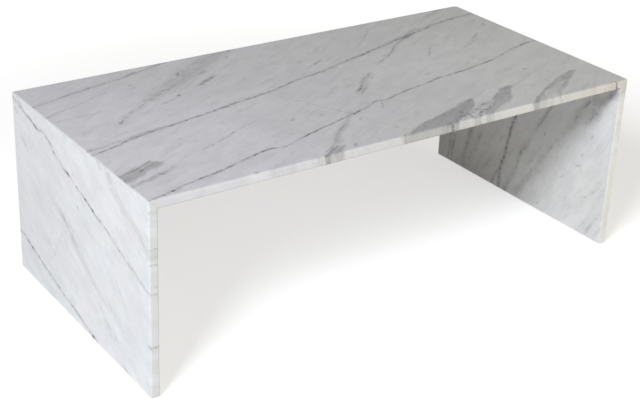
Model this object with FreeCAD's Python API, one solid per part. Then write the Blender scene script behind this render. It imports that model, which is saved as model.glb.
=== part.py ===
import FreeCAD, Part
import math
import os

# A low table of three polished marble slabs. The top and the two full-depth legs are mitred
# together, so that the stone seems to fold down to the floor at each end.
# Millimetres. X runs along the table, Y from front to back and Z up.
# The origin is on the floor under the middle of the top.

# Overall sizes, the height including the glide pads
table_length = 1220
table_width = 600
table_height = 420

# Stone
slab_thickness = 20
arris_radius = 4
back_corner_radius = 12

# Mitred joints: a thin bed of resin, crossed squarely by steel pins
seam_width = 0.6
pins_per_joint = 4
pin_diameter = 5
pin_length_share = 0.6
pin_spread_share = 0.76
pin_clearance = 0.3

# Flat bars on edge in grooves under the top, filled flush with resin
bar_thickness = 4
bar_side_cover = 1.5
bar_end_cover = 3
bar_face_cover = 1.5
groove_depth_share = 0.45
groove_end_distance = 60
bar_spread_share = 0.54

# Glide pads under the legs, kept inside the eased edges of the stone
pad_height = 2
pad_edge_distance = 1
pad_spread_share = 0.84

# How far a cutting solid runs past what it cuts
overrun = 5

half_length = table_length / 2
half_width = table_width / 2
top_underside = table_height - slab_thickness
arris = min(arris_radius, slab_thickness / 4)
corner_radius = min(back_corner_radius, slab_thickness - 2 * arris)
across_mitre = 1 / math.sqrt(2)

os.makedirs("parts", exist_ok=True)


def save(shape, node):
    """Write one piece to its own file."""
    shape.exportStep("parts/" + node + ".step")
    print(node, "solids", len(shape.Solids), "volume", round(shape.Volume / 1000, 2), "cm3")


def box_between(low, high):
    """A square-edged block from its lowest to its highest corner."""
    size = FreeCAD.Vector(*high) - FreeCAD.Vector(*low)
    return Part.makeBox(size.x, size.y, size.z, FreeCAD.Vector(*low))


def normal_beside(face, point):
    """The direction that a face looks at a point on it."""
    u, v = face.Surface.parameter(point)
    return face.normalAt(u, v)


def sharp_edges(solid):
    """The edges where two faces meet at an angle, which leaves out where an arc runs into a flat."""
    found = []
    for edge in solid.Edges:
        middle = edge.valueAt((edge.FirstParameter + edge.LastParameter) / 2)
        one, other = solid.ancestorsOfType(edge, Part.Face)
        angle = normal_beside(one, middle).getAngle(normal_beside(other, middle))
        if angle > math.radians(1):
            found.append(edge)
    return found


def is_back_right_upright(edge):
    """Whether an edge is the upright one at the right end of the back."""
    at_corner = [
        abs(vertex.X - half_length) < arris and abs(vertex.Y - half_width) < arris
        for vertex in edge.Vertexes
    ]
    return all(at_corner)


def eased_slab(low, high):
    """A slab with every arris rounded, and the back right corner rounded further in plan."""
    slab = box_between(low, high)
    corner = [edge for edge in slab.Edges if is_back_right_upright(edge)]
    if corner:
        slab = slab.makeFillet(corner_radius, corner)
    return slab.makeFillet(arris, sharp_edges(slab))


def mitre_point(side, along, off):
    """A point by the mitre of the left (-1) or right (1) end, in the front view.

    along counts down the mitre from the outer corner, and off counts out of it into the top."""
    x = side * (half_length - (along + off) * across_mitre)
    z = table_height + (off - along) * across_mitre
    return x, z


def mitre_prism(side, outline):
    """A prism along Y, from points given along and off the mitre, that runs past both long edges."""
    points = []
    for along, off in outline:
        x, z = mitre_point(side, along, off)
        points.append(FreeCAD.Vector(x, -half_width - overrun, z))
    face = Part.Face(Part.makePolygon(points + points[:1]))
    return face.extrude(FreeCAD.Vector(0, table_width + 2 * overrun, 0))


mitre_length = slab_thickness / across_mitre
mitre_end = mitre_length + overrun
half_seam = seam_width / 2


def leg_side_of_mitre(side, off):
    """All stone on the leg's side of a plane that lies off the mitre."""
    deep = off - mitre_end
    return mitre_prism(side, [(-overrun, off), (mitre_end, off), (mitre_end, deep), (-overrun, deep)])


def top_side_of_mitre(side, off):
    """All stone on the top's side of a plane that lies off the mitre."""
    deep = off + mitre_end
    return mitre_prism(side, [(-overrun, off), (mitre_end, off), (mitre_end, deep), (-overrun, deep)])


def places_across(spread_share, count):
    """Even places along Y, front to back, spread over a share of the table's width."""
    spread = table_width * spread_share
    pitch = spread / max(count - 1, 1)
    return [number * pitch - spread / 2 for number in range(count)]


pin_places = places_across(pin_spread_share, pins_per_joint)
bar_places = dict(zip(("front", "back"), places_across(bar_spread_share, 2)))
pad_places = dict(zip(("front", "middle", "back"), places_across(pad_spread_share, 3)))


def pin_across_mitre(side, y, diameter, length):
    """A round pin square to the mitre and centred on the joint."""
    x, z = mitre_point(side, mitre_length / 2, -length / 2)
    towards_top = FreeCAD.Vector(-side * across_mitre, 0, across_mitre)
    return Part.makeCylinder(diameter / 2, length, FreeCAD.Vector(x, y, z), towards_top)


pin_length = slab_thickness * pin_length_share


def drill_for_pins(shape, side):
    """Cut the pins' holes, a little larger than the pins."""
    bores = [
        pin_across_mitre(side, y, pin_diameter + 2 * pin_clearance, pin_length + 2 * pin_clearance)
        for y in pin_places
    ]
    return shape.cut(bores)


groove_depth = slab_thickness * groove_depth_share
groove_half_width = bar_thickness / 2 + bar_side_cover
groove_half_length = half_length - slab_thickness - groove_end_distance


def groove_block(y):
    """The space of one groove in the underside of the top."""
    low = (-groove_half_length, y - groove_half_width, top_underside)
    high = (groove_half_length, y + groove_half_width, top_underside + groove_depth)
    return box_between(low, high)


def stiffening_bar(y):
    """A flat bar on edge that reaches the bottom of its groove."""
    bar_half_length = groove_half_length - bar_end_cover
    low = (-bar_half_length, y - bar_thickness / 2, top_underside + bar_face_cover)
    high = (bar_half_length, y + bar_thickness / 2, top_underside + groove_depth)
    return box_between(low, high)


def tabletop():
    """The top: a mitre at each end, and two grooves underneath."""
    slab = eased_slab((-half_length, -half_width, top_underside), (half_length, half_width, table_height))
    for side in (-1, 1):
        slab = slab.cut(leg_side_of_mitre(side, half_seam))
        slab = drill_for_pins(slab, side)
    for y in bar_places.values():
        slab = slab.cut(groove_block(y))
    return slab


def uncut_leg(side):
    """A leg before its mitre is cut, as high as the top's upper face."""
    inner = side * (half_length - slab_thickness)
    outer = side * half_length
    low = (min(inner, outer), -half_width, pad_height)
    high = (max(inner, outer), half_width, table_height)
    return eased_slab(low, high)


def leg(side):
    """A leg with its mitre and the holes for its pins."""
    slab = uncut_leg(side).cut(top_side_of_mitre(side, -half_seam))
    return drill_for_pins(slab, side)


def joint_resin(side):
    """The bed of resin between a leg and the top, drilled for the pins."""
    plate = mitre_prism(
        side,
        [(-overrun, -half_seam), (mitre_end, -half_seam), (mitre_end, half_seam), (-overrun, half_seam)],
    )
    return drill_for_pins(uncut_leg(side).common(plate), side)


def glide_pad(side, y):
    """A round pad on the flat under a leg."""
    radius = slab_thickness / 2 - arris - pad_edge_distance
    x = side * (half_length - slab_thickness / 2)
    return Part.makeCylinder(radius, pad_height, FreeCAD.Vector(x, y, 0))


save(tabletop(), "tabletop_slab")

for name, side in {"left": -1, "right": 1}.items():
    save(leg(side), name + "_leg_slab")
    save(joint_resin(side), name + "_joint_resin")
    for number, y in enumerate(pin_places, start=1):
        pin = pin_across_mitre(side, y, pin_diameter, pin_length)
        save(pin, name + "_joint_pin_" + str(number))
    for place, y in pad_places.items():
        save(glide_pad(side, y), name + "_glide_pad_" + place)

for place, y in bar_places.items():
    bar = stiffening_bar(y)
    save(bar, place + "_stiffening_bar")
    save(groove_block(y).cut(bar), place + "_groove_resin")
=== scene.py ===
# %% [markdown]
# # A marble coffee table that folds down to the floor
# The table is three slabs of white marble with grey veins: a top and two full-depth legs, mitred
# together, so that the stone seems to fold down to the floor at each end.
# We load its construction model first. It gives every piece at its real size, in metres, with the
# origin on the floor under the middle of the top, X along the table and Y from front to back.

# %% Load the construction model
import math

import bmesh
import bpy
from mathutils import Matrix, Vector


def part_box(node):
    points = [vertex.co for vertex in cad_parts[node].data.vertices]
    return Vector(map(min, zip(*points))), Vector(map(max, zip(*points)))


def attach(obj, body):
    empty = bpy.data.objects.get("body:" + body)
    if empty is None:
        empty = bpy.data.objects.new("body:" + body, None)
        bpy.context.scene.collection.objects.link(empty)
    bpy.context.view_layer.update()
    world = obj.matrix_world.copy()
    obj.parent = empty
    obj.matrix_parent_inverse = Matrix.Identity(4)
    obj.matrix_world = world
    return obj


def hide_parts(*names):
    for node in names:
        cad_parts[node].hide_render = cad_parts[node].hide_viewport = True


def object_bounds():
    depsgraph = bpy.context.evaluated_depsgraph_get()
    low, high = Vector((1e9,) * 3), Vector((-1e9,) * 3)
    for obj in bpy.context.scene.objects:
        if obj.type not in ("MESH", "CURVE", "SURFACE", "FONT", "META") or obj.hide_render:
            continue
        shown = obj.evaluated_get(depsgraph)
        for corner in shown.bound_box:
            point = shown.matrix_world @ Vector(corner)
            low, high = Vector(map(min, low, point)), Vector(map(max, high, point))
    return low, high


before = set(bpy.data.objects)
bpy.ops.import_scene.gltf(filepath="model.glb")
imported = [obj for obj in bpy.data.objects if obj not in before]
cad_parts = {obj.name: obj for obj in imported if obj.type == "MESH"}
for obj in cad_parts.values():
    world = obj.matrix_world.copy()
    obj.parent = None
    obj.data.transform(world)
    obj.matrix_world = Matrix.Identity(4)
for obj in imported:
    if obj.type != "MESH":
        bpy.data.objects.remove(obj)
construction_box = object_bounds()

print("pieces in the construction model:", len(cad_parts))

# %% [markdown]
# ## The sizes that everything else follows
# The outer box and the thickness of the stone come from the construction model, so the pieces made
# here can't drift away from it. The sizes of the eased edges and of the joints are the same as there.

# %% Sizes
mm = 0.001
table_low, table_high = construction_box
top_low, top_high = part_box("tabletop_slab")
pad_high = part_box("left_glide_pad_middle")[1]

slab_thickness = top_high.z - top_low.z
arris_radius = 4 * mm
corner_radius = 12 * mm
half_seam = 0.3 * mm
pin_clearance = 0.3 * mm
table_size = table_high - table_low
print("table", [round(side, 4) for side in table_size], "stone", round(slab_thickness, 4))

# %% [markdown]
# ## The camera
# The photograph looks down on the table from beyond its left front corner, through a fairly long lens.
# The camera's place and angles were found by matching twelve straight edges of the table. A small
# vertical shift stands for the way the picture was cropped.

# %% Camera
camera_place = Vector((-1.5905, -2.1548, 1.4700))
camera_pan = math.radians(36.04)
camera_tilt = math.radians(24.25)
camera_roll = math.radians(2.485)

camera_data = bpy.data.cameras.new("camera")
camera_data.sensor_width = 36
camera_data.lens = 74.26
camera_data.shift_y = -0.0922
camera = bpy.data.objects.new("camera", camera_data)
bpy.context.scene.collection.objects.link(camera)
camera.matrix_world = (
    Matrix.Translation(camera_place)
    @ Matrix.Rotation(-camera_pan, 4, "Z")
    @ Matrix.Rotation(math.pi / 2 - camera_tilt, 4, "X")
    @ Matrix.Rotation(camera_roll, 4, "Z")
)
bpy.context.scene.camera = camera
bpy.context.scene.view_settings.view_transform = "Standard"
print("camera stands", round(camera_place.length, 2), "m from the table's foot")

# %% [markdown]
# ## Writing shaders as sums
# A material is a small sum made of nodes. Wiring it by hand takes many lines, so we wrap a socket in
# a class that understands the usual signs: adding two wires adds a Math node and returns its result.
# Every other node comes from one method, which sets the node's settings first and then its sockets.

# %% A wire and a recipe
class Wire:
    """A number that runs from one shader node to another, and takes the signs of arithmetic."""

    def __init__(self, recipe, socket):
        self.recipe = recipe
        self.socket = socket

    def math(self, operation, first, second=0.0):
        return self.recipe.node("Math", {"operation": operation}, {0: first, 1: second})

    def output(self, name):
        """Another output of the same node."""
        return Wire(self.recipe, self.socket.node.outputs[name])

    def at_most_one(self):
        return self.math("MINIMUM", self, 1.0)

    def __add__(self, other):
        return self.math("ADD", self, other)

    def __radd__(self, other):
        return self.math("ADD", other, self)

    def __sub__(self, other):
        return self.math("SUBTRACT", self, other)

    def __rsub__(self, other):
        return self.math("SUBTRACT", other, self)

    def __mul__(self, other):
        return self.math("MULTIPLY", self, other)

    def __rmul__(self, other):
        return self.math("MULTIPLY", other, self)

    def __truediv__(self, other):
        return self.math("DIVIDE", self, other)

    def __rtruediv__(self, other):
        return self.math("DIVIDE", other, self)

    def __abs__(self):
        return self.math("ABSOLUTE", self)


class Recipe:
    """The nodes of one material or world."""

    def __init__(self, owner):
        owner.use_nodes = True
        self.owner = owner
        self.tree = owner.node_tree
        self.tree.nodes.clear()

    def node(self, kind, settings=None, sockets=None, output=0):
        """Add a node and return a wire from one of its outputs."""
        made = self.tree.nodes.new("ShaderNode" + kind)
        for name, value in (settings or {}).items():
            if name == "curve":
                self.set_curve(made.mapping, value)
            else:
                setattr(made, name, value)
        for name, value in (sockets or {}).items():
            if isinstance(value, Wire):
                self.tree.links.new(value.socket, made.inputs[name])
            else:
                made.inputs[name].default_value = value
        return Wire(self, made.outputs[output]) if made.outputs else None

    def set_curve(self, mapping, points):
        curve = mapping.curves[0]
        curve.points[0].location = points[0]
        curve.points[1].location = points[-1]
        for point in points[1:-1]:
            curve.points.new(*point)
        mapping.update()

    def vector(self, operation, sockets, output=0):
        return self.node("VectorMath", {"operation": operation}, sockets, output)

    def noise(self, place, scale, detail=2, roughness=0.5, output="Fac"):
        sockets = {"Vector": place, "Scale": scale, "Detail": detail, "Roughness": roughness}
        return self.node("TexNoise", None, sockets, output)

    def grey(self, value):
        return self.node("CombineColor", None, {0: value, 1: value, 2: value})

    def mix(self, way, amount, first, second):
        """Two colours, mixed or multiplied."""
        settings = {"data_type": "RGBA", "blend_type": way}
        return self.node("Mix", settings, {0: amount, 6: first, 7: second}, 2)

    def surface(self, sockets):
        """Close a material with one Principled shader, and return it."""
        shader = self.node("BsdfPrincipled", None, sockets)
        self.node("OutputMaterial", None, {"Surface": shader})
        return self.owner


def ramp(value, start, end, low=0.0, high=1.0):
    """A soft step: low up to the start, high from the end on. The start may be past the end."""
    sockets = {"Value": value, "From Min": start, "From Max": end, "To Min": low, "To Max": high}
    return value.recipe.node("MapRange", {"interpolation_type": "SMOOTHSTEP"}, sockets)


print("shader helpers ready")

# %% [markdown]
# ## The studio
# The table stands on plain pale ground. In a photo studio that ground is lit until it is white, which
# would also flood the stone with light from below. Instead the floor here is ordinary pale paint, and
# gives off a little light of its own for the camera and for reflections only. That light grows with the
# distance from the table, until the floor is as white as the air. So the floor looks white, it lights
# the table no more than it should, and the table's shadow stays on it.

# %% Floor
def seen_directly(recipe):
    """One for rays from the camera, reflections and clear materials, and nought for other light."""
    rays = recipe.node("LightPath")
    seen = rays.output("Is Camera Ray") + rays.output("Is Glossy Ray") + rays.output("Is Transmission Ray")
    return seen.at_most_one()


glow_near = 0.52
glow_far = 1.0
glow_grows_from = 0.9
glow_grows_to = 3.0
floor_paint = (0.88, 0.88, 0.88, 1)
floor_recipe = Recipe(bpy.data.materials.new("pale_ground"))
floor_point = floor_recipe.node("TexCoord", output="Object")
floor_reach = floor_recipe.vector("LENGTH", {0: floor_point}, "Value")
growth = ramp(floor_reach, glow_grows_from, glow_grows_to, glow_near, glow_far)
ground_material = floor_recipe.surface(
    {
        "Base Color": floor_paint,
        "Roughness": 0.9,
        "Specular IOR Level": 0.0,
        "Emission Color": floor_recipe.grey(seen_directly(floor_recipe) * growth),
        "Emission Strength": 1.0,
    }
)

bpy.ops.object.select_all(action="DESELECT")
bpy.ops.mesh.primitive_plane_add(size=60, location=(0, 0, 0))
floor = bpy.context.object
floor.name = "ground"
floor.data.materials.append(ground_material)
print("floor", [round(side) for side in floor.dimensions[:2]])

# %% World
ambient_light = 0.195
ambient_colour = (1.0, 0.935, 0.84, 1)
white = (1, 1, 1, 1)
studio = bpy.data.worlds.new("studio")
bpy.context.scene.world = studio
world_recipe = Recipe(studio)
seen = seen_directly(world_recipe)
air_colour = world_recipe.mix("MIX", seen, ambient_colour, white)
air_strength = ambient_light + seen * (1 - ambient_light)
air = world_recipe.node("Background", None, {"Color": air_colour, "Strength": air_strength})
world_recipe.node("OutputWorld", None, {"Surface": air})
print("ambient light", ambient_light)

# %% [markdown]
# ## The lamps
# The brightest face in the photograph is the outside of the left leg, then the front edge, then the
# top. So the main softbox stands far to the left and a little to the front, and lower than halfway up.
# It throws the slanting shadow of the top on the inside of the right leg. Its light is a little blue,
# as daylight is. A wide, weak and warmer lamp near the floor fills the faces that look to the front.

# %% Lamps
aim = Vector((0, 0, 0.25))


def softbox(name, direction, distance, size, power, colour):
    """A square or oblong soft lamp that looks at the table."""
    lamp = bpy.data.lights.new(name, "AREA")
    lamp.shape = "RECTANGLE"
    lamp.size = size[0]
    lamp.size_y = size[1]
    lamp.energy = power
    lamp.color = colour
    holder = bpy.data.objects.new(name, lamp)
    bpy.context.scene.collection.objects.link(holder)
    towards = Vector(direction).normalized()
    holder.location = aim + towards * distance
    holder.rotation_mode = "QUATERNION"
    holder.rotation_quaternion = towards.to_track_quat("Z", "Y")
    print(name, "at", [round(value, 2) for value in holder.location])


softbox("main_softbox", (-0.71, -0.40, 0.555), 5.0, (1.4, 1.4), 177, (0.90, 0.935, 1.0))
softbox("front_fill", (0.6, -1.0, 0.12), 3.5, (2.4, 1.2), 33, (0.99, 0.96, 0.76))

# %% [markdown]
# ## Cutting a slab
# A stone yard saws a slab to size, eases its arrises with a hand pad and saws the mitre last, so the
# cut runs clean through the rounded edges. We do the same: a block, bevels, then a bisect at 45
# degrees. Bevelling after the cut would round the mitre itself and open the joint.

# %% Selecting edges and faces
def only_this(piece):
    """Make one object the only one that operators act on."""
    bpy.ops.object.select_all(action="DESELECT")
    piece.select_set(True)
    bpy.context.view_layer.objects.active = piece


def pick_edges(piece, wanted):
    """In edit mode, select the edges whose two ends pass a test."""
    bpy.ops.mesh.select_mode(type="EDGE")
    bpy.ops.mesh.select_all(action="DESELECT")
    mesh = bmesh.from_edit_mesh(piece.data)
    for edge in mesh.edges:
        edge.select_set(all(wanted(corner.co) for corner in edge.verts))
    bmesh.update_edit_mesh(piece.data)
    return sum(edge.select for edge in mesh.edges)


def pick_faces(piece, wanted):
    """In edit mode, select the faces that pass a test."""
    bpy.ops.mesh.select_mode(type="FACE")
    bpy.ops.mesh.select_all(action="DESELECT")
    mesh = bmesh.from_edit_mesh(piece.data)
    for face in mesh.faces:
        face.select_set(wanted(face))
    bmesh.update_edit_mesh(piece.data)
    return sum(face.select for face in mesh.faces)


print("selection helpers ready")

# %% The eased block
tiny = 0.01 * mm


def eased_block(name, low, high):
    """A block with rounded arrises, and with a larger radius at the table's back right corner."""
    bpy.ops.object.select_all(action="DESELECT")
    bpy.ops.mesh.primitive_cube_add(size=1, location=(low + high) / 2)
    piece = bpy.context.object
    piece.name = name
    piece.scale = high - low
    bpy.ops.object.transform_apply(location=True, rotation=True, scale=True)
    bpy.ops.object.mode_set(mode="EDIT")

    def at_back_right(corner):
        return corner.x > table_high.x - tiny and corner.y > table_high.y - tiny

    if pick_edges(piece, at_back_right):
        bpy.ops.mesh.bevel(offset=corner_radius, segments=12)
    bpy.ops.mesh.select_all(action="DESELECT")
    bpy.ops.mesh.edges_select_sharp(sharpness=math.radians(30))
    bpy.ops.mesh.bevel(offset=arris_radius, segments=6)
    bpy.ops.object.mode_set(mode="OBJECT")
    print(name, "eased block:", len(piece.data.polygons), "faces")
    return piece


# %% The mitre
def mitre_direction(side):
    """Square to the mitre at the left (-1) or right (1) end, pointing into the top."""
    return Vector((-side, 0, 1)).normalized()


def mitre_place(side, off):
    """A point on the plane that lies off the mitre, towards the top."""
    outer_corner = Vector((side * table_high.x, 0, table_high.z))
    return outer_corner + mitre_direction(side) * off


def saw(piece, place, direction):
    """Saw a piece through, close the cut, and keep the part that the direction points to."""
    only_this(piece)
    bpy.ops.object.mode_set(mode="EDIT")
    bpy.ops.mesh.select_all(action="SELECT")
    bpy.ops.mesh.bisect(plane_co=place, plane_no=direction, use_fill=True, clear_inner=True)
    bpy.ops.object.mode_set(mode="OBJECT")


print("mitre at", [round(value, 4) for value in mitre_place(-1, 0)])

# %% [markdown]
# ## Drilling for the pins
# Four steel pins cross each mitre. Their holes are cut with a Boolean modifier, because a round hole
# in a sloping face is awkward to model by hand. The construction model gives the place of each pin.

# %% Pin holes
pins_per_joint = 4
side_names = {-1: "left", 1: "right"}
pin_low, pin_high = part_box("left_joint_pin_1")
pin_diameter = min(pin_high - pin_low)
# The box round a pin that lies at 45 degrees is as high as its length and its diameter together
pin_length = (pin_high.z - pin_low.z) / mitre_direction(-1).z - pin_diameter


def pin_drill(side):
    """Cylinders that stand for the drill, one for each pin of a joint, as one object."""
    bpy.ops.object.select_all(action="DESELECT")
    bits = []
    for number in range(1, pins_per_joint + 1):
        low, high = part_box(side_names[side] + "_joint_pin_" + str(number))
        bpy.ops.mesh.primitive_cylinder_add(
            vertices=48,
            radius=pin_diameter / 2 + pin_clearance,
            depth=pin_length + 2 * pin_clearance,
            location=(low + high) / 2,
            rotation=(0, -side * math.pi / 4, 0),
        )
        bits.append(bpy.context.object)
    for bit in bits:
        bit.select_set(True)
    bpy.ops.object.join()
    return bpy.context.object


def drill(piece, side):
    """Drill a piece for the pins of one joint."""
    bits = pin_drill(side)
    only_this(piece)
    bpy.ops.object.modifier_add(type="BOOLEAN")
    holes = piece.modifiers[-1]
    holes.operation = "DIFFERENCE"
    holes.object = bits
    bpy.ops.object.modifier_apply(modifier=holes.name)
    bpy.data.objects.remove(bits)


print("pins", round(pin_diameter / mm, 2), "mm thick and", round(pin_length / mm, 2), "mm long")

# %% [markdown]
# ## Even shading on flat stone
# Smooth shading blends the direction of a big flat face into the narrow rounded arris beside it, and a
# polished slab would then look swollen. The Weighted Normal modifier lets the big faces keep their own
# direction, so that only the arrises look round.

# %% Finish the shading of a piece
def finish_shading(piece):
    """Smooth the rounded edges and keep the flat faces flat."""
    only_this(piece)
    bpy.ops.object.shade_smooth_by_angle(angle=math.radians(35))
    bpy.ops.object.modifier_add(type="WEIGHTED_NORMAL")
    weights = piece.modifiers[-1]
    weights.keep_sharp = True
    weights.weight = 100
    bpy.ops.object.modifier_apply(modifier=weights.name)
    print(piece.name, "faces", len(piece.data.polygons))


print("shading helper ready")

# %% [markdown]
# ## The top
# The top is one slab, sawn at 45 degrees at both ends. Two long grooves in its underside take
# the stiffening bars. Each groove is marked out on the bottom face with four shallow cuts, and then the
# strip between them is pushed up into the stone.

# %% Tabletop
def looks_down(face):
    return face.normal.z < -0.99


def cut_groove(piece, low, high):
    """Sink a groove into the underside, over the box of the resin that fills it."""
    only_this(piece)
    bpy.ops.object.mode_set(mode="EDIT")
    cuts = [(low, (1, 0, 0)), (high, (1, 0, 0)), (low, (0, 1, 0)), (high, (0, 1, 0))]
    for place, direction in cuts:
        pick_faces(piece, looks_down)
        bpy.ops.mesh.bisect(plane_co=place, plane_no=direction)

    def in_groove(face):
        middle = face.calc_center_median()
        inside = low.x < middle.x < high.x and low.y < middle.y < high.y
        return looks_down(face) and inside

    picked = pick_faces(piece, in_groove)
    bpy.ops.mesh.extrude_region_move(TRANSFORM_OT_translate={"value": (0, 0, high.z - low.z)})
    bpy.ops.object.mode_set(mode="OBJECT")
    print("groove faces pushed in:", picked)


top = eased_block("marble_top", Vector((table_low.x, table_low.y, top_low.z)), table_high)
for side in side_names:
    saw(top, mitre_place(side, half_seam), mitre_direction(side))
for place in ("front", "back"):
    cut_groove(top, *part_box(place + "_groove_resin"))
for side in side_names:
    drill(top, side)
finish_shading(top)
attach(top, "root")
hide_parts("tabletop_slab")

# %% [markdown]
# ## The legs
# A leg starts as high as the top's upper face, and loses its head to the saw. It stands on thin pads,
# so the stone ends a little above the floor.

# %% Legs
def uncut_leg(name, side):
    """A leg before the mitre is sawn."""
    outer = side * table_high.x
    inner = side * (table_high.x - slab_thickness)
    low = Vector((min(inner, outer), table_low.y, pad_high.z))
    high = Vector((max(inner, outer), table_high.y, table_high.z))
    return eased_block(name, low, high)


legs = {}
for side, name in side_names.items():
    leg = uncut_leg("marble_" + name + "_leg", side)
    saw(leg, mitre_place(side, -half_seam), -mitre_direction(side))
    drill(leg, side)
    finish_shading(leg)
    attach(leg, "root")
    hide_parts(name + "_leg_slab")
    legs[side] = leg

# %% [markdown]
# ## The glue line
# A bed of pale epoxy resin closes each mitre. It shows as a hair line on the outer arris and across
# the front edge. It is cut from the same rounded block as the leg, so it is flush with the stone.

# %% Resin beds
resin_beds = []
for side, name in side_names.items():
    bed = uncut_leg(name + "_resin_bed", side)
    saw(bed, mitre_place(side, -half_seam), mitre_direction(side))
    saw(bed, mitre_place(side, half_seam), -mitre_direction(side))
    drill(bed, side)
    finish_shading(bed)
    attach(bed, "root")
    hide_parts(name + "_joint_resin")
    resin_beds.append(bed)

# %% [markdown]
# ## The felt pads
# Six round felt pads keep the stone off the floor. Felt has no hard rim: it is cut from a soft
# sheet, so its side bulges a little and its fibres stand out. We model one pad, round its rims, swell
# its side, push the side's points in and out at random, and copy it to the other five places.

# %% One felt pad
pad_sides = 64
pad_waist = 0.94
side_bulge = 1.04
rim_radius = 0.5 * mm
fibre_reach = 0.12 * mm
# How far a normal may point up or down on the side alone, and on the side with its rims
side_slope = 0.2
rim_slope = 0.7


def felt_pad(node):
    """A round felt pad with soft rims, in the place of a pad of the construction model."""
    low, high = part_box(node)
    middle = (low + high) / 2
    radius = (high.x - low.x) / 2
    bpy.ops.object.select_all(action="DESELECT")
    bpy.ops.mesh.primitive_cylinder_add(
        vertices=pad_sides, radius=radius * pad_waist, depth=high.z - low.z, location=middle
    )
    pad = bpy.context.object
    bpy.ops.object.transform_apply(location=True, rotation=True, scale=True)
    bpy.ops.object.mode_set(mode="EDIT")
    bpy.ops.mesh.select_all(action="DESELECT")
    bpy.ops.mesh.edges_select_sharp(sharpness=math.radians(60))
    bpy.ops.mesh.bevel(offset=rim_radius, segments=4)
    pick_faces(pad, lambda face: abs(face.normal.z) < side_slope)
    bpy.ops.mesh.subdivide(number_cuts=1)
    pick_edges(pad, lambda corner: abs(corner.z - middle.z) < tiny)
    bpy.ops.transform.resize(value=(side_bulge, side_bulge, 1), center_override=middle)
    pick_faces(pad, lambda face: abs(face.normal.z) < rim_slope)
    bpy.ops.transform.vertex_random(offset=fibre_reach, normal=1.0, seed=7)
    bpy.ops.object.mode_set(mode="OBJECT")
    return pad


pad_nodes = sorted(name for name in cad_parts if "glide_pad" in name)
first_pad = felt_pad(pad_nodes[0])
finish_shading(first_pad)

# %% Five copies
pads = [first_pad]
for node in pad_nodes[1:]:
    only_this(first_pad)
    bpy.ops.object.duplicate()
    copied_pad = bpy.context.object
    copied_pad.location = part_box(node)[0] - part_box(pad_nodes[0])[0]
    bpy.ops.object.transform_apply(location=True, rotation=True, scale=True)
    pads.append(copied_pad)

for pad, node in zip(pads, pad_nodes):
    pad.name = "felt_" + node
    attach(pad, "root")
    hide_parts(node)
print("felt pads:", len(pads))

# %% [markdown]
# ## Where a point lies on a slab
# Every vein is drawn on a grid of millimetres that lies on the slab's visible face, with its corner at
# the back left. Marble is the same through and through, so the grid reaches into the stone as well: the
# veins are sheets that stand nearly square to the face and lean a little sideways, and they cross the
# edges as short bands. The grid is bent a little by noise, so that a curve drawn through a few points
# wanders like a real vein.

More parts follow.
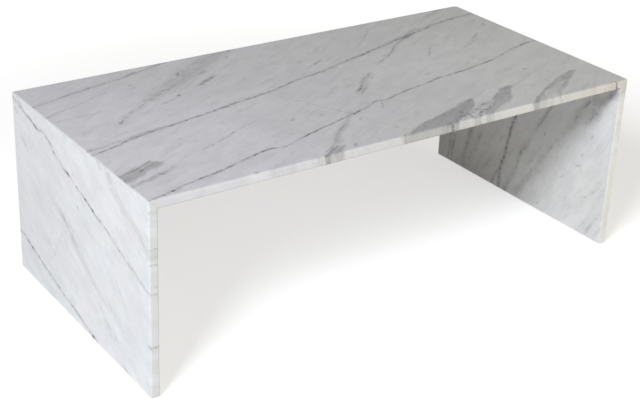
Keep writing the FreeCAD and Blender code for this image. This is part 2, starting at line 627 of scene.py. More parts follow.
# %% The grid of a slab
class Slab:
    """The marble of one slab: its grid, and the veins that have been drawn on it so far."""

    margin = 100
    wander = 18

    def __init__(self, name, corner, along, across, inwards, length, grain, lean=0.15):
        """The grid's corner, its directions, and the angle at which the grain rises along it."""
        self.recipe = Recipe(bpy.data.materials.new(name))
        self.full = length + 2 * self.margin
        self.grain = grain
        self.turned_grids = {}
        self.drawn = {"lines": 0.0, "veils": 0.0, "rust": 0.0}
        self.strokes = 0
        self.point = self.recipe.node("TexCoord", output="Object")
        leaning = Vector(along) + Vector(inwards) * lean
        self.spot = self.bend(self.measure(corner, leaning), self.measure(corner, Vector(across)))
        self.along = self.recipe.node("SeparateXYZ", None, {"Vector": self.spot})
        self.along_share = (self.along + self.margin) / self.full
        self.across_share = (self.along.output("Y") + self.margin) / self.full
        self.clouds = self.recipe.noise(self.point, 5, 3)
        self.rough = self.recipe.noise(self.point, 50, 3, 0.6)
        self.breaks = self.recipe.noise(self.point, 14, 3, 0.6)
        self.grit = self.recipe.noise(self.point, 170, 3, 0.6)
        # A vein swells and thins, fades and comes back, and carries dark beads
        self.thickness = ramp(self.rough, 0.32, 0.68, 0.7, 1.4)
        self.presence = ramp(self.breaks, 0.35, 0.62, 0.72, 1.14)
        self.beads = ramp(self.recipe.noise(self.point, 75), 0.43, 0.59, 0.52, 1.6)
        self.beads = self.beads * ramp(self.grit, 0.35, 0.65, 0.7, 1.25)
        # A patch is frayed and filled by fibres, and a mark has a ragged rim
        self.fibre = ramp(self.comb(60, 7, 4, 0.6), 0.30, 0.70)
        self.fray = self.fibre + self.rough * 0.6 - 0.8
        self.speckle = ramp(self.grit, 0.3, 0.7, 0.84, 1.16)
        self.ragged = (self.rough - 0.5) * 1.2 + (self.grit - 0.5) * 1.8
        # Veils are weaker halfway through the stone than at its two faces
        depth = self.measure(corner, Vector(inwards))
        self.paling = ramp(abs(depth - slab_thickness / mm / 2), 5, 9, 0.70, 1.0)

    def draw(self, layer, amount):
        """Add to the dark lines, to the grey layer of veils and painted shadow, or to the rust."""
        self.drawn[layer] = self.drawn[layer] + amount
        self.strokes += 1

    def report(self):
        print(self.recipe.owner.name, "has", self.strokes, "strokes so far")

    def measure(self, corner, direction):
        """Millimetres from the corner, in a direction."""
        reach = self.recipe.vector("DOT_PRODUCT", {0: self.point, 1: direction / mm}, "Value")
        return reach - direction.dot(Vector(corner)) / mm

    def bend(self, along, across):
        """The grid with a wander of a few millimetres."""
        straight = self.recipe.node("CombineXYZ", None, {"X": along, "Y": across})
        drift = self.recipe.noise(self.point, 16, 6, 0.82, "Color")
        reach = (self.wander, self.wander, 0)
        middle = (-self.wander / 2, -self.wander / 2, 0)
        scaled = self.recipe.vector("MULTIPLY_ADD", {0: drift, 1: reach, 2: middle})
        return self.recipe.vector("ADD", {0: straight, 1: scaled})

    def turned(self, angle):
        """The grid turned so that its first axis rises at an angle. Each angle is made once."""
        if angle not in self.turned_grids:
            turn = {"Vector": self.spot, "Rotation": (0, 0, math.radians(angle))}
            self.turned_grids[angle] = self.recipe.node("Mapping", None, turn)
        return self.turned_grids[angle]

    def comb(self, length, width, detail, roughness):
        """Noise drawn out along the grain, to a length and a width in millimetres."""
        size = {0: self.turned(self.grain), 1: (1 / length, 1 / width, 1)}
        drawn_out = self.recipe.vector("MULTIPLY", size)
        return self.recipe.noise(drawn_out, 1.0, detail, roughness)

    def share(self, millimetres):
        return (millimetres + self.margin) / self.full

    def course(self, points, down=False):
        """A curve through points (along, across), or (across, along) for one that runs down."""
        shares = sorted((self.share(one), self.share(other)) for one, other in points)
        run = self.across_share if down else self.along_share
        return self.recipe.node("FloatCurve", {"curve": shares}, {"Value": run})


print("grid helpers ready")

# %% [markdown]
# ## Drawing a vein
# A long vein is a crack that filled with darker mineral. It has a core of uneven width, it thins out
# and comes back, dark beads sit on it, and a soft grey bloom lies beside it. A Float Curve node holds
# its course: it turns the place along the slab into the place across it. The distance to that course
# gives the core and the bloom.

# %% Veins
def vein(slab, points, width, strength, bloom=None, ends=None, down=False, fade=25, layer="lines"):
    """Draw a vein through points in millimetres, along first, or across first if it runs down.

    bloom is the half width and the strength of the grey beside it. ends are the two places along its
    run where it fades out."""
    run = slab.across_share if down else slab.along_share
    aside = slab.along_share if down else slab.across_share
    gap = abs(aside - slab.course(points, down))
    present = slab.presence
    if ends:
        reach = fade / slab.full
        start, stop = (slab.share(end) for end in ends)
        present = present * ramp(run, start - reach, start + reach) * ramp(run, stop + reach, stop - reach)
    core = ramp(gap / slab.thickness, width / slab.full, 0, 0, strength)
    slab.draw(layer, core * present * slab.beads)
    if bloom:
        half_width, grey = bloom
        slab.draw("veils", ramp(gap, half_width / slab.full, 0, 0, grey) * present)


print("vein helper ready")

# %% [markdown]
# ## Drawing veils, patches and marks
# Between the long veins the stone carries soft grey veils and a few patches like torn leaves. Each one
# fills the space between two curves that meet at its tips. Its edges are frayed by the fibres of the
# grain, the fibres show inside it, and its upper rim may be darker. Smaller marks are ellipses with a
# ragged rim.

# %% Patches and marks
rim_width = 20
# The part of a soft edge that lies outside its curve
edge_outside = 0.3
# A mark fades from near its middle to a little past its half sizes
mark_core = 0.1
mark_rim = 1.1


def patch(slab, upper, lower, strength, soft=8, fibrous=0.5, frayed=10, rim=0.0):
    """Fill the space between two curves, in millimetres, with soft grey."""
    torn = slab.across_share + slab.fray * (frayed / slab.full)
    soft = soft / slab.full
    below_upper = torn - slab.course(upper)
    above_lower = slab.course(lower) - torn
    outside = -soft * edge_outside
    shape = ramp(below_upper, outside, soft) * ramp(above_lower, outside, soft, 0, strength)
    body = slab.fibre * fibrous + (1 - fibrous)
    if rim:
        body = body + ramp(below_upper, rim_width / slab.full, 0, 0, rim)
    slab.draw("veils", shape * body * slab.speckle)


def marks(slab, rows, layer="veils"):
    """Draw ellipses. A row has the place, the half length and half width, the angle and the strength."""
    for along, across, length, width, angle, strength in rows:
        turn = math.radians(angle)
        middle_x = along * math.cos(turn) - across * math.sin(turn)
        middle_y = along * math.sin(turn) + across * math.cos(turn)
        sockets = {
            0: slab.turned(angle),
            1: (1 / length, 1 / width, 0),
            2: (-middle_x / length, -middle_y / width, 0),
        }
        reach = slab.recipe.vector("LENGTH", {0: slab.recipe.vector("MULTIPLY_ADD", sockets)}, "Value")
        slab.draw(layer, ramp(reach + slab.ragged, mark_rim, mark_core, 0, strength))


print("patch and mark helpers ready")

# %% [markdown]
# ## The stone between the veins
# White marble is never one white. Clouds a hand wide drift between warmer and cooler white, smaller
# blotches are a little darker or lighter, and tiny crystals catch the light differently. The polish is
# a little duller over the veins, where softer minerals wear back.

# %% White stone
# The grey of the veils, which also colours the painted shadow on the right leg.
veil_and_shadow_colour = (0.30, 0.30, 0.30, 1)
line_colour = (0.10, 0.10, 0.105, 1)
rust_colour = (0.42, 0.24, 0.13, 1)


def finish_stone(slab, hue, cool, neutral, wisp_strength=0.3, fleck_strength=0.16):
    """Turn what was drawn on a slab into its material."""
    recipe = slab.recipe
    crystals = recipe.noise(slab.point, 420)
    blotches = slab.comb(80, 34, 6, 0.68)
    wisps = ramp(slab.comb(90, 14, 5, 0.62), 0.46, 0.78) * ramp(slab.breaks, 0.40, 0.62)
    flecks = ramp(slab.rough, 0.60, 0.78) * fleck_strength
    shade = 0.735 + slab.clouds * 0.12 + blotches * 0.38 + crystals * 0.04
    body = recipe.mix("MULTIPLY", 1.0, recipe.mix("MIX", hue, cool, neutral), recipe.grey(shade))
    if slab.drawn["rust"]:
        body = recipe.mix("MIX", slab.drawn["rust"].at_most_one(), body, rust_colour)
    # The grey layer holds the veils, and on the right leg also painted shadow.
    veils = (slab.drawn["veils"] + wisps * wisp_strength + flecks) * slab.paling
    lines = slab.drawn["lines"].at_most_one()
    veiled = recipe.mix("MIX", veils.at_most_one(), body, veil_and_shadow_colour)
    relief = {"Strength": 0.1, "Distance": 0.0002, "Height": crystals}
    skin = {
        "Base Color": recipe.mix("MIX", lines, veiled, line_colour),
        "Roughness": 0.36 + slab.clouds * 0.08 + lines * 0.12,
        "IOR": 1.5,
        "Specular IOR Level": 0.16,
        "Normal": recipe.node("Bump", None, relief),
    }
    print(recipe.owner.name, "has", slab.strokes, "strokes and", len(recipe.tree.nodes), "nodes")
    return recipe.surface(skin)


def give_finish(piece, material):
    """Let a piece have one material all over."""
    piece.data.materials.clear()
    piece.data.materials.append(material)


print("stone recipe ready")

# %% [markdown]
# ## The marble of the top
# Two long dark veins cross the top from end to end, rising gently to the back, and a third crosses its
# back left corner. Softer streaks rise twice as steeply between them. Along the front edge lie
# three grey patches like torn leaves.

# %% Long veins of the top
top_marble = Slab(
    "marble_of_top",
    (table_low.x, table_high.y, table_high.z),
    along=(1, 0, 0),
    across=(0, -1, 0),
    inwards=(0, 0, -1),
    length=round(table_size.x / mm),
    grain=30,
    lean=-0.25,
)
middle_vein = [
    (-60, 392), (0, 376), (50, 362), (100, 344), (200, 322), (270, 308), (340, 293), (400, 281),
    (480, 265), (560, 240), (640, 222), (724, 196), (800, 174), (880, 150), (944, 129), (1000, 115),
    (1080, 90), (1128, 81), (1216, 68), (1280, 60),
]
front_vein = [
    (-60, 614), (0, 598), (50, 586), (96, 572), (172, 554), (264, 529), (308, 518), (344, 521),
    (400, 502), (456, 484), (512, 468), (552, 457), (600, 442), (625, 431), (640, 424), (664, 426),
    (720, 411), (800, 394), (864, 380), (928, 374), (1000, 360), (1064, 342), (1136, 316), (1216, 300),
    (1280, 290),
]
back_vein = [
    (-60, 118), (0, 104), (48, 92), (100, 76), (144, 64), (192, 53), (264, 34), (320, 16), (400, -10),
]
second_strand = [(-60, 374), (0, 356), (50, 347), (100, 336), (150, 326), (200, 318), (250, 306)]
vein(top_marble, middle_vein, 4.3, 0.455, bloom=(12, 0.18))
vein(top_marble, front_vein, 4.0, 0.47, bloom=(9, 0.13))
vein(top_marble, back_vein, 5.0, 0.19, bloom=(15, 0.13), ends=(-90, 370))
vein(top_marble, second_strand, 4.5, 0.22, bloom=(13, 0.18), ends=(-90, 190))
corner_beads = [
    (88, 80, 9, 4, 22, 0.40), (145, 63, 8, 4, 22, 0.40), (190, 52, 6, 4, 22, 0.40),
    (342, 9, 18, 5, 22, 0.40),
]
marks(top_marble, corner_beads)
top_marble.report()

# %% Feathers and cracks of the top
upper_feather = [(740, 268), (792, 238), (840, 210), (880, 176), (928, 144), (976, 114), (1030, 92)]
lower_feather = [
    (600, 402), (625, 375), (640, 357), (652, 348), (670, 329), (691, 311), (713, 296), (731, 280),
    (760, 262),
]
twin_feather = [(600, 404), (640, 372), (664, 350), (679, 337), (710, 314)]
third_feather = [(680, 340), (710, 314), (725, 299), (750, 276)]
falling_feather = [(400, 590), (448, 544), (480, 512), (520, 480), (560, 440), (592, 408), (640, 370)]
vein(top_marble, upper_feather, 5.0, 0.26, bloom=(12, 0.18), ends=(785, 965))
vein(top_marble, lower_feather, 6.5, 0.26, bloom=(14, 0.22), ends=(634, 728), fade=12)
vein(top_marble, twin_feather, 6.5, 0.22, bloom=(11, 0.12), ends=(634, 676), fade=12)
vein(top_marble, third_feather, 5.5, 0.22, ends=(706, 730), fade=10)
vein(top_marble, falling_feather, 7.0, 0.11, bloom=(17, 0.18), ends=(425, 550))
falling_veil_upper = [(396, 588), (425, 556), (450, 532), (480, 502), (520, 476), (545, 458)]
falling_veil_lower = [(396, 600), (425, 586), (450, 560), (480, 528), (520, 494), (545, 462)]
patch(top_marble, falling_veil_upper, falling_veil_lower, 0.14, soft=10)

steep_crack = [(270, 460), (292, 472), (352, 504), (408, 528), (448, 552), (512, 576), (590, 606)]
vein(top_marble, steep_crack, 4.5, 0.11, ends=(290, 560), down=True)
vein(top_marble, [(440, 644), (460, 628), (478, 600)], 4, 0.5, ends=(428, 458), down=True, fade=10)
for course, width, strength, ends, fade in [
    ([(800, 140), (816, 124), (848, 96), (892, 56), (920, 30)], 5, 0.20, (812, 895), 25),
    ([(900, 280), (920, 258), (960, 212), (990, 190)], 5, 0.30, (915, 958), 12),
    ([(610, 200), (624, 192), (672, 166), (700, 150)], 5, 0.40, (622, 675), 12),
    ([(170, 465), (192, 458), (256, 432), (352, 390), (400, 372)], 5, 0.20, (200, 350), 25),
    ([(-40, 184), (0, 168), (104, 128), (200, 88), (240, 74)], 7, 0.14, (-60, 190), 25),
    ([(-40, 204), (0, 200), (112, 190), (150, 180)], 7, 0.12, (-60, 110), 25),
]:
    vein(top_marble, course, width, strength, ends=ends, fade=fade)
marks(top_marble, [(651, 351, 12, 6, 50, 0.55), (954, 132, 34, 10, 20, 0.54)])
top_marble.report()

# %% Streaks at the back left of the top
long_haze_upper = [
    (90, 280), (122, 250), (147, 224), (199, 190), (217, 168), (253, 142), (298, 108), (350, 66),
    (420, 16), (500, -30),
]
long_haze_lower = [
    (90, 286), (130, 264), (165, 238), (205, 216), (250, 194), (300, 168), (345, 142), (420, 94),
    (520, 20),
]
short_haze_upper = [(300, 160), (330, 116), (350, 90), (380, 64), (420, 30), (450, 8), (520, -24)]
short_haze_lower = [(300, 166), (330, 160), (360, 134), (400, 112), (440, 78), (480, 60), (540, 24)]
dark_stroke = [(320, 180), (351, 163), (378, 150), (392, 143), (411, 132), (440, 114)]
streak_marks = [
    (121, 262, 15, 4, 40, 0.72), (140, 243, 16, 7, 45, 0.20), (165, 224, 18, 6, 40, 0.34),
    (190, 207, 18, 6, 30, 0.30), (203, 200, 9, 5, 25, 0.22), (218, 181, 7, 4, 40, 0.30),
    (234, 183, 10, 7, 20, 0.26), (256, 167, 14, 6, 28, 0.34), (276, 151, 10, 5, 30, 0.28),
    (290, 153, 10, 5, 30, 0.30), (308, 142, 13, 6, 30, 0.22), (245, 214, 16, 5, 28, 0.42),
    (268, 204, 11, 4, 20, 0.36), (282, 197, 6, 4, 20, 0.24), (293, 191, 10, 5, 35, 0.80),
    (404, 100, 20, 9, 15, 0.24), (352, 84, 14, 5, 52, 0.60), (356, 98, 6, 4, 45, 0.30),
    (320, 44, 9, 4, 60, 0.22), (500, 42, 12, 6, 40, 0.30), (526, 6, 9, 7, 40, 0.45),
    (262, 32, 24, 7, 20, 0.38),
]
patch(top_marble, long_haze_upper, long_haze_lower, 0.32, soft=26, frayed=26)
patch(top_marble, short_haze_upper, short_haze_lower, 0.12, soft=28, fibrous=0.3, frayed=24)
vein(top_marble, dark_stroke, 8, 0.30, bloom=(14, 0.22), ends=(352, 414), fade=20)
marks(top_marble, streak_marks)
print("marks along the streaks:", len(streak_marks))

# %% The dark patch at the left end of the top
left_patch_upper = [
    (-50, 480), (0, 472), (30, 466), (45, 465), (62, 458), (76, 449), (92, 452), (112, 464),
]
left_patch_lower = [
    (-50, 540), (0, 522), (20, 514), (45, 503), (62, 488), (85, 484), (104, 472), (112, 466),
]
left_feather = [(-40, 548), (0, 534), (27, 525), (63, 515), (90, 506), (116, 491), (140, 480)]
patch(top_marble, left_patch_upper, left_patch_lower, 0.72, soft=10, fibrous=0.4, frayed=14)
vein(top_marble, left_feather, 8, 0.22, bloom=(13, 0.20), ends=(-60, 108))
marks(top_marble, [(50, 481, 8, 5, 20, 0.75)], "lines")
marks(top_marble, [(42, 472, 14, 4, 15, 0.35)])
top_marble.report()

# %% The first torn leaf at the front of the top
first_leaf_upper = [
    (560, 602), (580, 594), (600, 586), (615, 580), (632, 574), (650, 564), (680, 552), (710, 546),
    (740, 538), (760, 532), (775, 526), (800, 517), (815, 513), (830, 511),
]
first_leaf_lower = [
    (560, 610), (640, 670), (696, 650), (712, 606), (722, 594), (740, 587), (752, 582), (768, 573),
    (790, 564), (812, 545), (822, 530), (830, 515),
]
leaf_foot = [(690, 616), (712, 597), (722, 591), (735, 584), (750, 580), (765, 571), (790, 556)]
leaf_tail = [(556, 780), (568, 773), (580, 765), (590, 762), (610, 768)]
patch(top_marble, first_leaf_upper, first_leaf_lower, 0.66, soft=7, fibrous=0.2, frayed=6, rim=0.14)
vein(top_marble, leaf_foot, 10, 0.62, ends=(716, 768), fade=8, layer="veils")
vein(top_marble, leaf_tail, 7, 0.50, ends=(566, 620), down=True, fade=8, layer="veils")
marks(top_marble, [(757, 561, 8, 6, 55, 0.70), (752, 583, 9, 5, 35, 0.35)])
marks(top_marble, [(708, 556, 26, 10, 20, 0.10)], "rust")
marks(top_marble, [(700, 606, 6, 14, 0, 0.80)], "lines")
top_marble.report()

# %% The second torn leaf
second_leaf_upper = [
    (786, 604), (800, 590), (812, 578), (826, 566), (845, 552), (860, 545), (875, 533), (900, 515),
    (925, 500), (940, 495), (962, 494), (985, 487),
]
second_leaf_lower = [
    (786, 608), (806, 606), (824, 596), (842, 586), (860, 577), (880, 571), (900, 561), (918, 549),
    (932, 530), (948, 512), (985, 491),
]
second_haze_upper = [(775, 572), (800, 558), (830, 546), (870, 530)]
second_haze_lower = [(775, 582), (800, 574), (830, 566), (870, 550)]
patch(top_marble, second_leaf_upper, second_leaf_lower, 0.62, soft=7, fibrous=0.4, frayed=8)
patch(top_marble, second_haze_upper, second_haze_lower, 0.22)
for course, width, strength, ends in [
    ([(860, 548), (875, 536), (885, 528), (900, 518), (925, 507), (945, 501), (975, 494)],
     9, 0.12, (872, 954)),
    ([(855, 568), (880, 551), (895, 542), (905, 537), (917, 532), (935, 520)], 6, 0.24, (872, 926)),
    ([(770, 604), (785, 591), (797, 583), (815, 575), (840, 562)], 9, 0.90, (782, 830)),
    ([(765, 578), (790, 568), (810, 560), (830, 551), (850, 543)], 7, 0.40, (776, 846)),
    ([(800, 575), (830, 570), (850, 562), (880, 545)], 6, 0.16, (826, 870)),
]:
    vein(top_marble, course, width, strength, ends=ends, fade=10, layer="veils")
leaf_marks = [
    (938, 505, 13, 6, 25, 0.18), (916, 532, 8, 6, 30, 0.18), (838, 554, 12, 5, 30, 0.18),
    (965, 537, 9, 6, 35, 0.12), (998, 526, 16, 5, 30, 0.12), (950, 551, 9, 5, 30, 0.12),
]
marks(top_marble, leaf_marks)
top_marble.report()

# %% The third torn leaf
third_leaf_upper = [
    (915, 607), (940, 590), (957, 577), (975, 567), (990, 558), (1010, 546), (1030, 538), (1050, 527),
    (1075, 513), (1100, 503), (1120, 497), (1140, 493), (1158, 496),
]
third_leaf_lower = [
    (915, 616), (940, 606), (957, 594), (975, 583), (990, 572), (1010, 560), (1030, 553), (1050, 544),
    (1070, 537), (1090, 535), (1105, 531), (1122, 521), (1140, 509), (1158, 500),
]
lower_strand_upper = [
    (1000, 606), (1012, 587), (1030, 566), (1045, 558), (1065, 548), (1085, 536), (1100, 529),
]
lower_strand_lower = [
    (1000, 616), (1012, 604), (1030, 582), (1045, 573), (1065, 563), (1085, 550), (1100, 534),
]
between_upper = [(985, 578), (1010, 558), (1030, 550), (1050, 542), (1070, 533), (1095, 530)]
between_lower = [(985, 586), (1010, 586), (1030, 572), (1050, 562), (1070, 553), (1095, 536)]
last_wisp_upper = [(1090, 606), (1110, 590), (1130, 578), (1150, 568)]
last_wisp_lower = [(1090, 612), (1110, 604), (1130, 590), (1150, 572)]
third_leaf_stalk = [(966, 596), (974, 588), (982, 578), (990, 570)]
patch(top_marble, third_leaf_upper, third_leaf_lower, 0.64, soft=5, fibrous=0.4, frayed=5)
patch(top_marble, lower_strand_upper, lower_strand_lower, 0.46, soft=5, fibrous=0.4, frayed=5)
patch(top_marble, between_upper, between_lower, 0.34, soft=6, fibrous=0.6)
patch(top_marble, last_wisp_upper, last_wisp_lower, 0.22)
vein(top_marble, third_leaf_stalk, 8, 0.30, ends=(968, 986), fade=12, layer="veils")
third_leaf_marks = [
    (958, 582, 12, 6, 30, 0.22), (1096, 519, 14, 8, 40, 0.22), (1014, 551, 13, 5, 25, 0.22),
]
marks(top_marble, third_leaf_marks)
top_marble.report()

# %% The small leaf at the left of them, and the broad darkening at the back and across the middle
small_leaf_upper = [(372, 612), (392, 588), (412, 575), (436, 570), (453, 575)]
small_leaf_lower = [(372, 620), (394, 645), (410, 625), (426, 601), (443, 588), (453, 577)]
# The top is a little darker towards the back, and across the middle.
back_darkening_lower = [(-90, 120), (150, 200), (400, 320), (700, 270), (1310, 240)]
middle_darkening_upper = [(300, 420), (450, 260), (600, 190), (750, 270), (900, 440)]
middle_darkening_lower = [(300, 424), (450, 640), (600, 780), (750, 700), (900, 444)]
patch(top_marble, small_leaf_upper, small_leaf_lower, 0.85, fibrous=0.6)
patch(top_marble, [(-90, -170), (1310, -170)], back_darkening_lower, 0.15, soft=160, fibrous=0.2)
patch(top_marble, middle_darkening_upper, middle_darkening_lower, 0.10, soft=140, fibrous=0.2)
top_marble.report()

# %% Marks on the front edge of the top
rust_line = [(560, 1181), (620, 1181), (660, 1181)]
vein(top_marble, rust_line, 4, 1.0, ends=(594, 680), down=True, fade=7, layer="rust")
vein(top_marble, rust_line, 3.2, 0.8, ends=(596, 680), down=True, fade=6)
rust_stains = [
    (1175, 606, 50, 14, 0, 0.27), (1090, 606, 130, 14, 0, 0.11), (683, 604, 11, 12, 0, 0.22),
    (755, 604, 22, 12, 0, 0.08),
]
edge_marks = [
    (953, 602, 26, 14, 0, 0.42), (386, 606, 11, 14, 0, 0.56), (368, 606, 12, 14, 0, 0.36),
    (774, 600, 9, 6, 20, 0.42), (984, 600, 11, 6, 20, 0.34), (770, 604, 16, 12, 0, 0.18),
]
marks(top_marble, rust_stains, "rust")
marks(top_marble, edge_marks)
print("marks on the front edge:", len(rust_stains) + len(edge_marks))

# %% Small marks of the top
small_marks = [
    (1056, 436, 10, 6, 20, 0.40), (468, 584, 12, 6, 60, 0.50), (229, 594, 7, 5, 30, 0.50),
    (630, 150, 14, 6, 30, 0.30), (230, 90, 11, 4, 35, 0.55), (231, 106, 13, 4, 35, 0.34),
    (590, 557, 8, 6, 30, 0.24), (626, 531, 18, 6, 20, 0.14), (874, 382, 14, 5, 20, 0.36),
    (642, 225, 14, 5, 20, 0.38), (680, 216, 14, 5, 20, 0.26), (70, 360, 14, 5, 20, 0.38),
    (272, 309, 14, 5, 20, 0.34), (826, 209, 14, 5, 20, 0.32), (106, 310, 14, 5, 20, 0.26),
    (1184, 148, 14, 5, 35, 0.45), (842, 350, 18, 6, 30, 0.35),
]
marks(top_marble, small_marks)
marks(top_marble, [(428, 418, 13, 4, 35, 0.38), (554, 484, 11, 4, 30, 0.30)], "lines")
for upper, lower, strength, soft in [
    ([(1050, 66), (1072, 42), (1110, 20), (1152, -4), (1180, -20)],
     [(1050, 70), (1072, 56), (1110, 40), (1152, 18), (1180, -6)], 0.48, 16),
    ([(1020, 260), (1050, 236), (1090, 210), (1130, 190)],
     [(1020, 266), (1050, 252), (1090, 232), (1130, 198)], 0.40, 10),
    ([(900, 134), (930, 118), (960, 108), (990, 100)],
     [(900, 146), (930, 138), (960, 128), (990, 116)], 0.36, 8),
]:
    patch(top_marble, upper, lower, strength, soft=soft)
print("small marks of the top:", len(small_marks))

# %% Finish of the top
# The top's stone is set a little darker than the legs', as painted shade for how the lamps fall on it. It
# turns from cooler at the left end to neutral at the right.
top_cool_with_painted_shade = (0.765, 0.756, 0.788, 1)
top_neutral_with_painted_shade = (0.752, 0.751, 0.745, 1)
top_hue = ramp(top_marble.along_share + top_marble.clouds * 0.4, 0.45, 1.0)
give_finish(top, finish_stone(top_marble, top_hue, top_cool_with_painted_shade, top_neutral_with_painted_shade))

# %% [markdown]
# ## The marble of the left leg
# The left leg is cut from another part of the block. Its two long veins fall towards the front, and
# don't meet those of the top at the mitre. The first has short, nearly black stretches.

# %% Marble of the left leg
def leg_slab(name, corner, grain):
    """The grid of a leg runs along it from back to front, and across it from the top down."""
    along = (0, -1, 0)
    across = (0, 0, -1)
    inwards = (1, 0, 0)
    return Slab(name, corner, along, across, inwards, round(table_size.y / mm), grain)


left_marble = leg_slab("marble_of_left_leg", (table_low.x, table_high.y, table_high.z), -28)
upper_vein = [
    (-60, 0), (0, 10), (30, 17), (65, 25), (100, 33), (125, 40), (150, 35), (175, 42), (205, 60),
    (225, 72), (250, 80), (265, 82), (300, 95), (345, 107), (380, 120), (420, 131), (475, 150),
    (525, 167), (570, 181), (600, 191), (660, 212),
]
lower_vein = [
    (-60, 314), (0, 324), (30, 329), (65, 340), (105, 350), (150, 364), (195, 374), (240, 384),
    (280, 392), (320, 401), (355, 412), (385, 418), (460, 440),
]
vein(left_marble, upper_vein, 4.5, 0.20, bloom=(9, 0.10))
vein(left_marble, upper_vein, 4.2, 0.26, ends=(245, 400))
vein(left_marble, upper_vein, 8.0, 0.14, ends=(-60, 190))
vein(left_marble, lower_vein, 5.0, 0.335, bloom=(11, 0.12))
black_stretches = [
    (265, 82, 11, 4, -14, 0.65), (112, 37, 14, 3, -14, 0.65), (204, 61, 5, 4, -14, 0.65),
    (303, 96, 6, 3, -14, 0.65), (345, 107, 9, 3, -14, 0.45), (372, 117, 12, 3, -14, 0.45),
    (68, 340, 7, 3, -14, 0.45), (197, 374, 6, 3, -14, 0.45), (357, 411, 9, 4, -14, 0.75),
]
marks(left_marble, black_stretches, "lines")
print("dark stretches on the left leg:", len(black_stretches))

# %% Soft streaks of the left leg
middle_streak_upper = [
    (178, 172), (215, 176), (240, 184), (280, 206), (315, 232), (360, 264), (410, 296),
]
middle_streak_lower = [
    (178, 178), (205, 192), (240, 208), (280, 236), (315, 258), (360, 286), (410, 304),
]
corner_streak_upper = [
    (420, -20), (445, 0), (470, 18), (500, 44), (540, 58), (570, 78), (620, 106),
]
corner_streak_lower = [
    (420, -10), (445, 16), (470, 44), (500, 70), (540, 84), (570, 104), (620, 130),
]
# The back of the leg is a little darker.
left_back_darkening_upper = [(-90, -120), (100, -120), (270, 210)]
left_back_darkening_lower = [(-90, 620), (100, 560), (270, 216)]
core_upper = [(530, 62), (550, 70), (570, 82), (590, 96)]
core_lower = [(530, 68), (550, 80), (570, 94), (590, 100)]
patch(left_marble, middle_streak_upper, middle_streak_lower, 0.34, soft=20, fibrous=0.3, frayed=22)
patch(left_marble, corner_streak_upper, corner_streak_lower, 0.32, soft=20, fibrous=0.3, frayed=22)
patch(left_marble, left_back_darkening_upper, left_back_darkening_lower, 0.045, soft=110, fibrous=0)
patch(left_marble, core_upper, core_lower, 0.36)
for course, width, strength, ends in [
    ([(170, 310), (188, 296), (204, 270), (214, 250), (230, 232), (250, 215)], 12, 0.09, (180, 235)),
    ([(420, 190), (445, 210), (475, 238), (510, 272), (540, 300)], 10, 0.08, (440, 515)),
    ([(420, 285), (440, 296), (470, 312), (500, 330), (530, 346), (560, 360)], 12, 0.06, (435, 535)),
    ([(400, 332), (420, 342), (445, 352), (470, 364), (500, 380)], 11, 0.10, (415, 475)),
]:
    vein(left_marble, course, width, strength, ends=ends)
front_line = [(560, 292), (580, 300), (600, 306), (640, 316)]
vein(left_marble, front_line, 5, 0.35, ends=(590, 680), fade=14)
left_marble.report()

# %% Small marks and finish of the left leg
left_marks = [
    (240, 197, 24, 10, -28, 0.26), (277, 222, 24, 11, -35, 0.26), (304, 142, 10, 4, -30, 0.5),
    (497, 409, 24, 3, -14, 0.5), (424, 343, 9, 5, -30, 0.24), (438, 299, 9, 6, -40, 0.30),
    (372, 286, 16, 5, -40, 0.25), (52, 96, 24, 7, -30, 0.20), (40, 13, 24, 8, -28, 0.34),
    (20, 37, 14, 7, -28, 0.26), (406, 6, 22, 8, -28, 0.28), (446, 18, 24, 11, -35, 0.26),
    (466, 44, 20, 9, -35, 0.22),
]
front_dashes = [
    (605, 24, 9, 6, 0, 0.28), (605, 99, 9, 3, 0, 0.50), (605, 116, 9, 7, 0, 0.16),
    (605, 131, 9, 4, 0, 0.56), (605, 176, 9, 4, 0, 0.34),
]
marks(left_marble, left_marks + front_dashes)
left_hue = ramp(left_marble.clouds, 0.45, 0.75)
left_cool = (0.79, 0.795, 0.80, 1)
left_neutral = (0.79, 0.79, 0.785, 1)
give_finish(legs[-1], finish_stone(left_marble, left_hue, left_cool, left_neutral, wisp_strength=0.24))

# %% [markdown]
# ## The marble of the right leg
# Of the right leg the photograph shows the inside. Its veins run steeply down and towards the back, and
# small dark specks lie between them. A grey band of painted shadow crosses the upper front corner, along
# the edge of the top's shadow.

# %% Marble of the right leg
inner_corner = (table_high.x - slab_thickness, table_high.y, top_low.z)
right_marble = leg_slab("marble_of_right_leg", inner_corner, 60)
black_vein = [
    (-60, 340), (60, 310), (130, 293), (195, 277), (210, 272), (240, 265), (280, 257), (310, 252),
    (340, 245), (385, 243), (440, 240),
]
side_branch = [(300, 256), (330, 245), (350, 236), (375, 225), (420, 205)]
short_vein = [
    (60, 430), (110, 399), (134, 387), (155, 375), (192, 355), (250, 322), (275, 310), (310, 300),
    (335, 290), (370, 275), (430, 250),
]
long_vein = [
    (-40, 580), (20, 540), (65, 510), (120, 480), (165, 450), (220, 410), (245, 395), (285, 370),
    (320, 350), (360, 325), (420, 290),
]
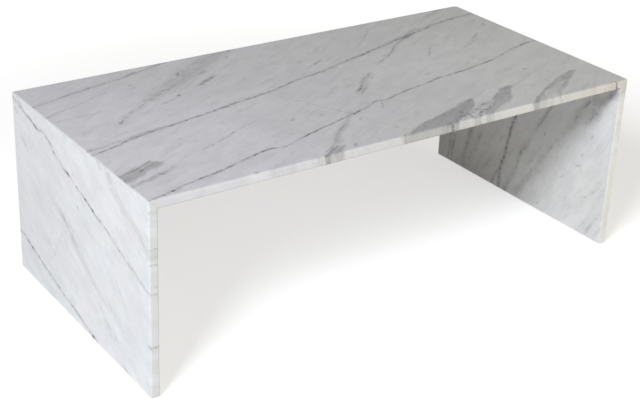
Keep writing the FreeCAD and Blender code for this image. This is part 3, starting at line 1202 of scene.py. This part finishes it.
# The course of a grey band of painted shadow, along the edge of the top's shadow on the inner face.
painted_corner_shadow = [
    (-40, 640), (0, 606), (20, 586), (40, 562), (60, 551), (80, 540), (100, 527), (120, 512), (140, 495),
]
for course, width, strength, bloom, ends in [
    (black_vein, 4.6, 0.55, (13, 0.30), None),
    (side_branch, 6, 0.26, (12, 0.2), (335, 420)),
    (short_vein, 5.0, 0.36, (12, 0.20), (-60, 185)),
    (short_vein, 10, 0.12, (20, 0.1), (235, 440)),
    (long_vein, 14, 0.09, (28, 0.14), None),
    ([(240, 140), (280, 125), (310, 117), (350, 107), (400, 106)], 10, 0.22, (20, 0.2), (270, 430)),
    ([(240, 170), (280, 160), (310, 150), (340, 135), (370, 125), (420, 105)], 12, 0.14, None, (270, 430)),
    ([(280, 78), (320, 65), (345, 60), (385, 56), (430, 50)], 8, 0.24, None, (295, 440)),
    ([(280, 56), (325, 50), (385, 44), (430, 38)], 8, 0.20, None, (300, 440)),
    ([(190, 620), (235, 580), (280, 555), (310, 530), (350, 515)], 9, 0.12, None, (225, 320)),
    ([(300, 610), (330, 585), (372, 560), (410, 545)], 8, 0.09, None, (320, 400)),
]:
    vein(right_marble, course, width, strength, bloom, ends, down=True)
# Draw the band of painted shadow into the grey layer.
vein(right_marble, painted_corner_shadow, 20, 0.18, (36, 0.34), (-60, 116), down=True, fade=16, layer="veils")
right_marble.report()

# %% Small marks and finish of the right leg
dark_specks = [
    (412, 219, 8, 4, 62, 0.32), (480, 115, 8, 4, 62, 0.32), (384, 192, 8, 4, 62, 0.32),
    (312, 274, 8, 4, 62, 0.32), (510, 70, 18, 6, 58, 0.40),
]
# The first two, large marks at the upper front corner are painted shadow that deepens the band above; the
# rest are pale grey specks of the stone.
pale_specks_and_painted_shadow = [
    (530, 56, 34, 15, 58, 0.26), (580, 24, 20, 12, 58, 0.36), (558, 373, 9, 4, 70, 0.34),
    (457, 278, 11, 4, 40, 0.34), (512, 202, 8, 4, 65, 0.34), (505, 230, 13, 4, 20, 0.34),
    (477, 330, 10, 4, 75, 0.34), (388, 376, 8, 4, 50, 0.34), (535, 146, 12, 4, 62, 0.34),
    (238, 258, 10, 4, 58, 0.34), (352, 300, 9, 4, 66, 0.34), (150, 330, 12, 4, 60, 0.34),
]
marks(right_marble, dark_specks, "lines")
marks(right_marble, pale_specks_and_painted_shadow)
right_hue = ramp(right_marble.clouds, 0.45, 0.75)
# The right leg's stone is set lighter than the top's and the left leg's, as painted light for how the
# lamps fall on its inner face, and its clouds lean to green as painted shade colour.
right_cool_with_painted_light = (0.835, 0.835, 0.83, 1)
right_greenish_with_painted_light = (0.83, 0.835, 0.805, 1)
give_finish(legs[1], finish_stone(right_marble, right_hue, right_cool_with_painted_light, right_greenish_with_painted_light, fleck_strength=0.26))

# %% [markdown]
# ## Resin
# The resin is epoxy, tinted to the colour of the stone and sanded flush. It is never quite even: the
# filler settles in faint clouds, and pin holes from air bubbles leave small dull dots. We need two
# blocks of it, so a function makes the material from two colours, between which the clouds drift.

# %% Resin material
bubble_colour = (0.25, 0.24, 0.22, 1)


def resin_material(name, dark, light):
    recipe = Recipe(bpy.data.materials.new(name))
    point = recipe.node("TexCoord", output="Object")
    clouds = recipe.noise(point, 40, 4)
    filler = recipe.noise(point, 1800, 1)
    bubbles = recipe.node("TexVoronoi", None, {"Vector": point, "Scale": 350})
    pits = ramp(bubbles, 0.16, 0.08)
    colour = recipe.mix("MIX", clouds * 0.7 + filler * 0.3, dark, light)
    relief = {"Strength": 0.3, "Distance": 0.0002, "Height": filler - pits}
    return recipe.surface(
        {
            "Base Color": recipe.mix("MIX", pits * 0.35, colour, bubble_colour),
            "Roughness": 0.30 + clouds * 0.1 + pits * 0.3,
            "IOR": 1.5,
            "Normal": recipe.node("Bump", None, relief),
        }
    )


joint_resin = resin_material("pale_joint_resin", (0.52, 0.52, 0.49, 1), (0.64, 0.64, 0.61, 1))
groove_resin = resin_material("grey_groove_resin", (0.46, 0.46, 0.44, 1), (0.58, 0.58, 0.55, 1))
for bed in resin_beds:
    give_finish(bed, joint_resin)
for place in ("front", "back"):
    give_finish(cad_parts[place + "_groove_resin"], groove_resin)
print("resin on", len(resin_beds), "joints and 2 grooves")

# %% [markdown]
# ## Steel
# The pins and the stiffening bars are drawn stainless steel, all of it inside the stone. Drawing through
# a die leaves fine lines along the metal. Noise stretched along the bar gives them: it varies the
# roughness and the height, and hardly the colour.

# %% Steel material
dark_steel = (0.52, 0.52, 0.52, 1)
light_steel = (0.68, 0.68, 0.67, 1)


def steel_material(name, stretch):
    recipe = Recipe(bpy.data.materials.new(name))
    point = recipe.node("TexCoord", output="Object")
    drawn_out = recipe.vector("MULTIPLY", {0: point, 1: stretch})
    lines = recipe.noise(drawn_out, 1.0, 4)
    stains = recipe.noise(point, 30, 3)
    relief = {"Strength": 0.2, "Distance": 0.0001, "Height": lines}
    return recipe.surface(
        {
            "Base Color": recipe.mix("MIX", lines * 0.6 + stains * 0.4, dark_steel, light_steel),
            "Metallic": 1.0,
            "Roughness": 0.24 + lines * 0.2,
            "Normal": recipe.node("Bump", None, relief),
        }
    )


bar_steel = steel_material("drawn_steel_bar", (12, 900, 900))
pin_steel = steel_material("steel_pin", (500, 500, 500))
for place in ("front", "back"):
    give_finish(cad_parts[place + "_stiffening_bar"], bar_steel)
pin_nodes = [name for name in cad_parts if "joint_pin" in name]
for name in pin_nodes:
    give_finish(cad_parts[name], pin_steel)
print("steel on 2 bars and", len(pin_nodes), "pins")

# %% [markdown]
# ## Felt
# The pads are dense grey-brown felt. Pressed wool shows short fibres in all directions and a few lighter
# ones on top, and has a soft sheen at a flat angle. Two noises, one coarse and one fine, make the fibres.

# %% Felt material
dark_wool = (0.17, 0.16, 0.15, 1)
light_wool = (0.32, 0.30, 0.28, 1)
felt_recipe = Recipe(bpy.data.materials.new("grey_felt"))
felt_point = felt_recipe.node("TexCoord", output="Object")
tufts = felt_recipe.noise(felt_point, 900, 3)
crossed = {"Vector": felt_point, "Scale": 4000, "Detail": 2, "Distortion": 1.5}
hairs = felt_recipe.node("TexNoise", None, crossed)
wool_tone = ramp(tufts * 0.6 + hairs * 0.4, 0.35, 0.65)
nap = {"Strength": 0.7, "Distance": 0.0003, "Height": tufts + hairs * 0.5}
felt = felt_recipe.surface(
    {
        "Base Color": felt_recipe.mix("MIX", wool_tone, dark_wool, light_wool),
        "Roughness": 0.95,
        "Sheen Weight": 0.3,
        "Sheen Roughness": 0.5,
        "Normal": felt_recipe.node("Bump", None, nap),
    }
)
for pad in pads:
    give_finish(pad, felt)
print("felt on", len(pads), "pads")
